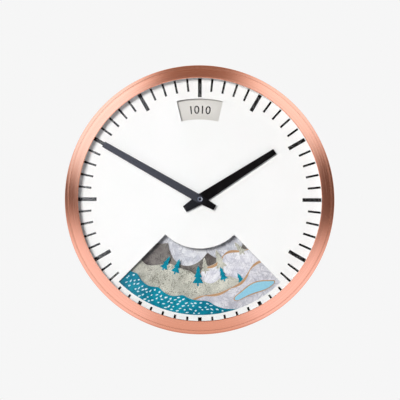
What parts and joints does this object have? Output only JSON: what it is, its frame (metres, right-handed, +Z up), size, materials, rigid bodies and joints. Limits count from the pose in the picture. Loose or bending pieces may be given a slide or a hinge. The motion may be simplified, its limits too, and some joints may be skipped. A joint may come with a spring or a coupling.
{
  "type": "wall clock with weather disc",
  "caption": "Round copper-rimmed wall clock with baton marks, black hands, and a barometer-driven weather disc seen through two windows in its white dial.",
  "frame": {"origin": "on the clock's axis, in the plane of the wall that the case's back hem rests on", "axes": "+Z up towards 12 o'clock, +X to the right as the dial is read, -Y out of the wall towards the reader"},
  "size_m": [0.32, 0.066, 0.32],
  "materials": {
    "copper": "circular brushed satin copper",
    "clear_glass": "clear polished",
    "black_rubber": "matt",
    "white_plastic": "matt",
    "white_paint": "satin white paint",
    "black_ink": "printed ink",
    "black_paint": "satin black paint",
    "black_coat": "fine textured powder coat",
    "zinc_steel": "zinc plated",
    "bright_steel": "ground",
    "brass": "turned",
    "chassis_metal": "plain rolled sheet",
    "black_plastic": "moulded",
    "ivory_plastic": "moulded",
    "cell_jacket": "printed film",
    "board_green": "solder mask",
    "copper_wire": "enamelled wire",
    "cream_card": "uncoated card",
    "sky_paper": "washed paper",
    "ridge_paper": "speckled paper",
    "white_paper": "fibrous paper",
    "grey_paper": "speckled paper",
    "ivory_paper": "flecked paper",
    "teal_paper": "painted paper",
    "foam": "closed-cell foam"
  },
  "bodies": {
    "case": {"bezel": "copper", "glass": "clear_glass", "glass_gasket": "black_rubber", "glass_spacer_ring": "white_plastic", "case_body": "copper", "back_cover": "black_coat", "back_cover_screws": "zinc_steel", "rear_posts": "brass", "front_pillars": "brass", "chassis_plate": "chassis_metal", "dial_plate": "white_paint", "hour_marks": "black_ink", "minute_marks": "black_ink", "dial_screws": "zinc_steel", "movement_housing": "black_plastic", "movement_front_plate": "black_plastic", "centre_bush": "brass", "rubber_washer": "black_rubber", "bush_washer": "brass", "bush_nut": "brass", "wheel_posts": "bright_steel", "battery_cell": "cell_jacket", "battery_contacts": "zinc_steel", "circuit_board": "board_green", "motor_coil": "copper_wire", "motor_stator": "zinc_steel", "hub_clip": "zinc_steel", "arbor_cock": "zinc_steel", "cock_screws": "zinc_steel", "aneroid_capsules": "brass", "capsule_bracket": "zinc_steel", "bracket_screws": "zinc_steel"},
    "minute": {"minute_hand": "black_paint", "hand_nut": "black_paint", "minute_arbor": "bright_steel"},
    "centre": {"centre_wheel": "ivory_plastic"},
    "hour": {"hour_hand": "black_paint", "hour_wheel": "ivory_plastic"},
    "motion": {"motion_wheel": "ivory_plastic"},
    "setting": {"setting_knob": "ivory_plastic"},
    "train": {"train_wheel": "ivory_plastic"},
    "rotor": {"motor_rotor": "bright_steel"},
    "disc": {"weather_disc": "chassis_metal", "disc_hub": "brass", "disc_rivets": "brass", "scale_card": "cream_card", "scale_card_posts": "foam", "picture_sky": "sky_paper", "picture_far_ridge": "ridge_paper", "picture_white_hills": "white_paper", "picture_grey_hills": "grey_paper", "picture_near_hills": "ivory_paper", "picture_sea": "teal_paper", "picture_spacers": "foam"},
    "sector": {"sector_gear": "brass", "sector_arbor": "bright_steel", "sector_arm": "brass"},
    "yoke": {"capsule_yoke": "bright_steel"},
    "adjuster": {"adjusting_screw": "brass"}
  },
  "joints": [
    {"name": "minute_hand_turn", "type": "hinge", "parent": "case", "child": "minute", "pos_m": [0, -0.04, 0], "axis": [0, 1, 0], "continuous": true},
    {"name": "hour_hand_turn", "type": "hinge", "parent": "case", "child": "hour", "pos_m": [0, -0.04, 0], "axis": [0, 1, 0], "continuous": true},
    {"name": "motion_wheel_turn", "type": "hinge", "parent": "case", "child": "motion", "pos_m": [0.01299, -0.0225, 0.0075], "axis": [0, 1, 0], "continuous": true},
    {"name": "setting_knob_turn", "type": "hinge", "parent": "case", "child": "setting", "pos_m": [0, -0.015, 0.015], "axis": [0, 1, 0], "continuous": true},
    {"name": "centre_wheel_turn", "type": "hinge", "parent": "case", "child": "centre", "pos_m": [0, -0.017, 0], "axis": [0, 1, 0], "continuous": true},
    {"name": "train_wheel_turn", "type": "hinge", "parent": "case", "child": "train", "pos_m": [-0.01063, -0.015, -0.00285], "axis": [0, 1, 0], "continuous": true},
    {"name": "motor_rotor_turn", "type": "hinge", "parent": "case", "child": "rotor", "pos_m": [-0.01287, -0.02, 0.0069], "axis": [0, 1, 0], "continuous": true},
    {"name": "weather_disc_turn", "type": "hinge", "parent": "case", "child": "disc", "pos_m": [0, -0.04, 0], "axis": [0, 1, 0], "range_deg": [-60, 60], "stiffness_Nm_per_rad": 0.6},
    {"name": "sector_turn", "type": "hinge", "parent": "case", "child": "sector", "pos_m": [0, -0.03, -0.054], "axis": [0, 1, 0], "range_deg": [-12.1, 12.1]},
    {"name": "capsule_travel", "type": "slide", "parent": "case", "child": "yoke", "axis": [1, 0, 0], "range_m": [-0.00152, 0.00152], "deforming": ["aneroid_capsules"]},
    {"name": "adjusting_screw_turn", "type": "hinge", "parent": "case", "child": "adjuster", "pos_m": [-0.0505, -0.027, -0.0612], "axis": [0, 1, 0], "range_deg": [-180, 180]}
  ],
  "couplings": [
    {"joint": "hour_hand_turn", "follows": "minute_hand_turn", "ratio": 0.083333},
    {"joint": "motion_wheel_turn", "follows": "minute_hand_turn", "ratio": -0.33333},
    {"joint": "setting_knob_turn", "follows": "minute_hand_turn", "ratio": 1},
    {"joint": "train_wheel_turn", "follows": "motor_rotor_turn", "ratio": -0.11111},
    {"joint": "centre_wheel_turn", "follows": "motor_rotor_turn", "ratio": 0.011111},
    {"joint": "sector_turn", "follows": "weather_disc_turn", "ratio": -0.2},
    {"joint": "capsule_travel", "follows": "weather_disc_turn", "m_per_rad": 0.00144}
  ]
}
